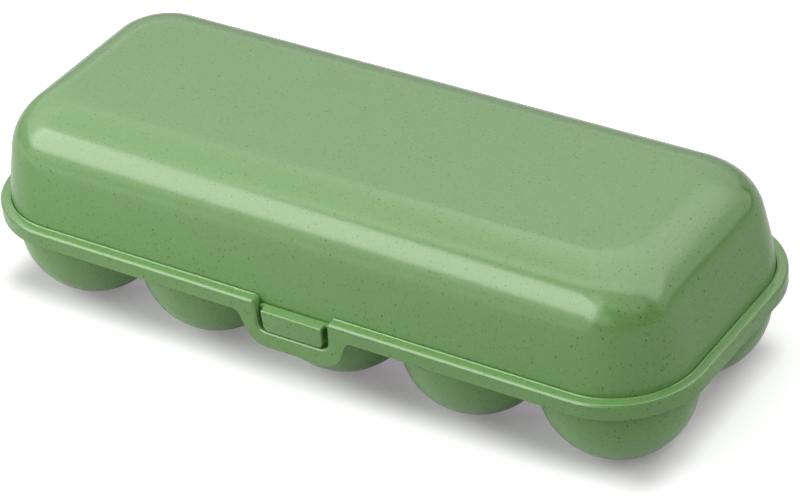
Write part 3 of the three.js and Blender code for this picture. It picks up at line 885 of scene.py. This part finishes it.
# %% [markdown]
# ## The lid
# The lid is one moulded shell. Its foot drops inside the rim, its walls lean in, and a wide round
# shoulder leads to the flat top. Each level is a rectangle with round corners that grow tighter on
# the way up, so the corners are drawn in as the real ones are. The inner skin lies one wall
# thickness inside, square to the outer one, and a rounded edge joins the two at the foot.

# %% The levels of the lid
LID_WALL = 1.6
LEAN = math.radians(10.7)
SHOULDER = 21.2
LID_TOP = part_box("lid")[1].z / MM
FOOT_INSET = 3.95
FOOT_BOTTOM = 34.0
FOOT_OUTER_EDGE = 0.5
FOOT_INNER_EDGE = 0.35
FOOT_CORNER = CORNER - FOOT_INSET
TOP_CORNER = 10.9
CORNER_EASE = 0.56
shoulder_z = LID_TOP - SHOULDER
lean_z = shoulder_z + SHOULDER * math.sin(LEAN)
lean_inset = FOOT_INSET + (lean_z - RIM_TOP) * math.tan(LEAN)
top_inset = lean_inset + SHOULDER * math.cos(LEAN)
print("inset of the foot, the shoulder and the flat top in mm:", FOOT_INSET, round(lean_inset, 2),
      round(top_inset, 2))

# %% Skins from the foot to the top


def corner_at(inset):
    """The corner's radius by the outer skin's inset: it falls by share**ease to the flat top."""
    share = np.clip((inset - FOOT_INSET) / (top_inset - FOOT_INSET), 0, 1)
    return FOOT_CORNER - (FOOT_CORNER - TOP_CORNER) * share**CORNER_EASE


def lid_levels(depth):
    """Inset, height and corner radius up a skin that lies depth inside the outer one."""
    straight = np.linspace(0, 1, 9)
    outer = FOOT_INSET + (lean_inset - FOOT_INSET) * straight
    inset = outer + depth / math.cos(LEAN) * (straight > 0) + depth * (straight == 0)
    height = RIM_TOP + (lean_z - RIM_TOP) * straight
    angle = np.linspace(LEAN, math.pi / 2, 25)[1:]
    bent = top_inset - SHOULDER * np.cos(angle)
    bent_inset = bent + depth * np.cos(angle)
    bent_height = shoulder_z + (SHOULDER - depth) * np.sin(angle)
    all_outer = np.concatenate([outer, bent])
    all_inset = np.concatenate([inset, bent_inset])
    radius = corner_at(all_outer) - (all_inset - all_outer)
    return np.stack([all_inset, np.concatenate([height, bent_height]), radius])


def foot_levels():
    """The rounded edge at the foot, from the inner skin to the outer one."""
    swing = np.linspace(0, math.pi / 2, 6)
    inner_inset = FOOT_INSET + LID_WALL - FOOT_INNER_EDGE * (1 - np.cos(swing))
    inner_height = FOOT_BOTTOM + FOOT_INNER_EDGE * (1 - np.sin(swing))
    outer_inset = FOOT_INSET + FOOT_OUTER_EDGE * (1 - np.sin(swing))
    outer_height = FOOT_BOTTOM + FOOT_OUTER_EDGE * (1 - np.cos(swing))
    inset = np.concatenate([inner_inset, outer_inset])
    height = np.concatenate([inner_height, outer_height])
    return np.stack([inset, height, CORNER - inset])


print("levels of a skin:", lid_levels(0.0).shape[1], "and of the foot's edge:", foot_levels().shape[1])

# %% Carry the levels round the box
SIDE_STEPS = 12
CORNER_STEPS = 32
side_share = np.linspace(-1, 1, SIDE_STEPS + 1)[:-1]
round_turn = np.linspace(0, math.pi / 2, CORNER_STEPS + 1)[:-1]
side_end, corner_end = np.ones(SIDE_STEPS), np.ones(CORNER_STEPS)
half_x = [side_share, corner_end, side_end, corner_end]
half_y = [-side_end, -corner_end, side_share, corner_end]
share_x = np.concatenate(half_x + [-part for part in half_x])
share_y = np.concatenate(half_y + [-part for part in half_y])
half_turns = [0 * side_end, round_turn, side_end * math.pi / 2, math.pi / 2 + round_turn]
turns = np.concatenate(half_turns + [part + math.pi for part in half_turns])


def level_ring(inset, height, radius):
    """A rounded rectangle: share * (half side - radius) + radius * (sin turn, -cos turn)."""
    inset, height, radius = inset[:, None], height[:, None], radius[:, None]
    x = share_x * (HALF_LENGTH - inset - radius) + radius * np.sin(turns)
    y = MIDDLE + share_y * (HALF_WIDTH - inset - radius) - radius * np.cos(turns)
    return np.stack([x, y, np.broadcast_to(height, x.shape)], axis=-1)


def flat_end(ring):
    """Rings that shrink to the middle, to close the flat top."""
    centre = np.array([0.0, MIDDLE, ring[0, 2]])
    shares = np.array([0.985, 0.9, 0.7, 0.4, 0.0])
    return centre + (ring - centre) * shares[:, None, None]


outside = level_ring(*lid_levels(0.0))
inside = level_ring(*lid_levels(LID_WALL))
foot_edge = level_ring(*foot_levels())
lid_grid = [flat_end(inside[-1])[::-1], inside[::-1], foot_edge, outside, flat_end(outside[-1])]
lid_grid = np.concatenate(lid_grid)
lid_dome = make_piece("lid_dome", *skin(lid_grid, round_columns=True), "lid", "lid_plastic")

# %% [markdown]
# ## The hinges
# The back isn't in the photograph, so this is the hinge that such boxes usually have: ears moulded
# on the skirt carry a pin, and an open clip on the lid snaps over it. These are flat outlines pushed
# along the length, with their edges softened as a moulding's are.

# %% Outlines pushed along the length
HINGE_Y = 55.3
HINGE_Z = RIM_TOP
HINGE_X = 66.0
KNUCKLE = 3.3
PIN = 1.5
BORE = 1.8
CLIP_WIDTH = 12.0
EAR_WIDTH = 2.4
EAR_X = 7.6
EAR_ROOT = 0.65
EAR_FOOT = 33.0
EAR_HEAD = 36.1
EAR_SLOPE_END = -64.3
BACK = MIDDLE + HALF_WIDTH


def pushed(outline, x, width):
    """Both ends of an outline of y and z, and the walls between them."""
    count = len(outline)
    ends = [np.column_stack([np.full(count, x + side * width / 2), outline]) for side in (-1, 1)]
    step = np.arange(count)
    after = (step + 1) % count
    walls = np.stack([step, after, after + count, step + count], axis=1).tolist()
    faces = walls + [step[::-1].tolist(), (step + count).tolist()]
    return np.vstack(ends), faces


def arc(radius, start, end, count):
    """Points round the hinge's axis: axis + radius * (cos, sin) of each angle, in degrees."""
    angle = np.radians(np.linspace(start, end, count))
    return np.column_stack([HINGE_Y + radius * np.cos(angle), HINGE_Z + radius * np.sin(angle)])


ear_outline = np.vstack([
    [(BACK - EAR_ROOT, EAR_FOOT), (BACK, HEM)],
    arc(KNUCKLE, EAR_SLOPE_END, 90, 20),
    [(BACK, HINGE_Z), (BACK - EAR_ROOT, EAR_HEAD)],
])
ear_skins = []
for hinge in (-HINGE_X, HINGE_X):
    for ear_side in (-EAR_X, EAR_X):
        ear_skins.append(pushed(ear_outline, hinge + ear_side, EAR_WIDTH))
make_piece("hinge_ears", *joined(*ear_skins), "tray", "tray_plastic", bevel=0.3)

# %% The pins, turned
pin_ends = np.array([EAR_X, 6.4, 6.32, 6.2, 6.0])
pin_swell = np.array([1.8, 1.8, 1.65, 1.55, PIN])
pin_x = np.concatenate([-pin_ends, pin_ends[::-1]])
pin_radius = np.concatenate([pin_swell, pin_swell[::-1]])
pin_turn = np.linspace(0, 2 * math.pi, 33)[:-1]


def pin_at(hinge):
    """A bar along X whose radius swells where it joins the ears, with flat ends."""
    x = np.concatenate([pin_x[:1], pin_x, pin_x[-1:]])[:, None] + hinge
    radius = np.concatenate([[0.0], pin_radius, [0.0]])[:, None]
    y = HINGE_Y + radius * np.cos(pin_turn)
    z = HINGE_Z + radius * np.sin(pin_turn)
    return np.stack([np.broadcast_to(x, y.shape), y, z], axis=-1)


pin_skins = [skin(pin_at(hinge), round_columns=True) for hinge in (-HINGE_X, HINGE_X)]
make_piece("hinge_pins", *joined(*pin_skins), "tray", "tray_plastic")

# %% The clips
ARM_BOTTOM = RIM_TOP + 0.3
ARM_TOP = ARM_BOTTOM + 2.2
ARM_ROOT = BACK - 5.2
meets_bottom = 180 - math.degrees(math.asin((ARM_BOTTOM - HINGE_Z) / KNUCKLE))
meets_top = 180 - math.degrees(math.asin((ARM_TOP - HINGE_Z) / KNUCKLE))
clip_outline = np.vstack([
    [(ARM_ROOT, ARM_BOTTOM)],
    arc(KNUCKLE, meets_bottom, 250, 10),
    arc(BORE, 250, -10, 24),
    arc(KNUCKLE, -10, meets_top, 18),
    [(ARM_ROOT, ARM_TOP)],
])
clip_skins = [pushed(clip_outline, hinge, CLIP_WIDTH) for hinge in (-HINGE_X, HINGE_X)]
make_piece("lid_clips", *joined(*clip_skins), "lid", "lid_plastic", bevel=0.25)

# %% [markdown]
# ## The latch tab
# The tab is moulded with the lid and hangs on a thin film hinge. The film lies in a groove above and
# below, and the upper groove is the fine dark line over the tab. From its wide root the tab bends
# over the front edge and runs down flush with the apron. It is a flat bar's section, carried along
# that bent line, whose width changes on the way: wide at the root, then narrower, and round at the
# lower corners.

# %% The bent line and the width of the tab
TAB_WALL = 1.3
FRONT = MIDDLE - HALF_WIDTH
CREASE = FRONT + FOOT_INSET
FILM_WIDTH = 0.4
FILM_THICKNESS = 0.3
TAB_TOP = 35.2
TAB_FOOT = 26.6
TAB_FALL = 0.6
TAB_LEAN = 0.3
TAB_BEND = 0.55
ROOT_LENGTH = 1.7
PAD_CORNER = 2.2
FOOT_EDGE = 0.25
tab_corners = [(CREASE, TAB_TOP), (FRONT, TAB_TOP - TAB_FALL), (FRONT + TAB_LEAN, TAB_FOOT)]
tab_line, tab_heading = filleted(tab_corners, (TAB_BEND,), (30, 12, 34))
tab_steps = np.linalg.norm(np.diff(tab_line, axis=0), axis=1)
tab_run = np.concatenate([[0], np.cumsum(tab_steps)])
to_foot = tab_run[-1] - tab_run
print("tab line in mm:", round(float(tab_run[-1]), 2))

# %% How wide the tab is, and how thin


def rounding(radius):
    """How far an edge of that radius has fallen back near the foot: r - sqrt(r^2 - (r - d)^2)."""
    short_of = np.clip(radius - to_foot, 0, radius)
    return radius - np.sqrt(radius**2 - short_of**2)


taper = np.interp(tab_run, [ROOT_LENGTH, tab_run[-1]], [11.8, 11.4])
root_marks = [0, 0.1, 0.3, 1.45, 1.62, ROOT_LENGTH]
root_half = np.interp(tab_run, root_marks, [13.25, 13.4, 13.5, 13.5, 13.4, 13.2])
tab_half = np.where(tab_run < ROOT_LENGTH + 0.05, root_half, taper - rounding(PAD_CORNER))
sunk = np.where(tab_run < FILM_WIDTH, (TAB_WALL - FILM_THICKNESS) / 2, rounding(FOOT_EDGE))
print("half width of the tab in mm:", tab_half.max().round(2), "to", tab_half.min().round(2))

# %% Carry the section along the tab
SIDE_EDGE = 0.3
side_swing = np.linspace(0, math.pi / 2, 5)
right_x = SIDE_EDGE * np.concatenate([np.sin(side_swing), np.cos(side_swing)])
upper = SIDE_EDGE * (1 - np.cos(side_swing))
lower = TAB_WALL - SIDE_EDGE * (1 - np.sin(side_swing))
side_x = np.concatenate([right_x, -right_x[::-1]])
side_depth = np.concatenate([upper, lower, lower[::-1], upper[::-1]])
SECTION = len(side_x)
side_sign = np.repeat([1.0, -1.0], SECTION // 2)
squeeze = (TAB_WALL - 2 * sunk[:, None]) / TAB_WALL
depth = sunk[:, None] + side_depth * squeeze
tab_x = side_sign * (tab_half - SIDE_EDGE - sunk)[:, None] + side_x
tab_y = tab_line[:, :1] + depth * -np.sin(tab_heading)[:, None]
tab_z = tab_line[:, 1:] + depth * np.cos(tab_heading)[:, None]
tab_grid = np.stack([tab_x, tab_y, tab_z], axis=-1)
tab_points, tab_faces = skin(tab_grid, round_columns=True)
tab_ends = [list(range(SECTION)), list(range(len(tab_points) - SECTION, len(tab_points)))]
tab = make_piece("latch_pad", tab_points, tab_faces.tolist() + tab_ends, "latch", "latch_plastic")

# %% The legs and their barbs
LEG_WIDTH = 5.0
LEG_X = 7.0
FLOOR_UNDER = POCKET_FLOOR - 1.4
BRIDGE = 28.15
BRIDGE_HEIGHT = 2.0
LEG_BACK = -55.0
LEG_FRONT = -56.1
PAD_BACK = FRONT + TAB_WALL / 2
BARB_TOP = FLOOR_UNDER - 0.3
BARB_REACH = 0.9
BARB_FACE = 0.4
BARB_HEIGHT = 1.5
leg_outline = np.array([
    (LEG_BACK, BARB_TOP - BARB_HEIGHT),
    (LEG_BACK, BRIDGE + BRIDGE_HEIGHT),
    (PAD_BACK, BRIDGE + BRIDGE_HEIGHT),
    (PAD_BACK, BRIDGE),
    (LEG_FRONT, BRIDGE),
    (LEG_FRONT, BARB_TOP),
    (LEG_FRONT - BARB_REACH, BARB_TOP),
    (LEG_FRONT - BARB_REACH, BARB_TOP - BARB_FACE),
    (LEG_FRONT, BARB_TOP - BARB_HEIGHT),
])
leg_skins = [pushed(leg_outline, leg, LEG_WIDTH) for leg in (-LEG_X, LEG_X)]
make_piece("latch_legs", *joined(*leg_skins), "latch", "latch_plastic", bevel=0.12)

# %% [markdown]
# ## What stands for what
# The finer pieces stand for the three nodes of the frame, which stay underneath for the physics.

# %% Stand for the nodes
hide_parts("egg_tray")
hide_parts("lid")
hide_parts("latch_tab")
print("these stand for the nodes:", cups.name, lid_dome.name, tab.name)
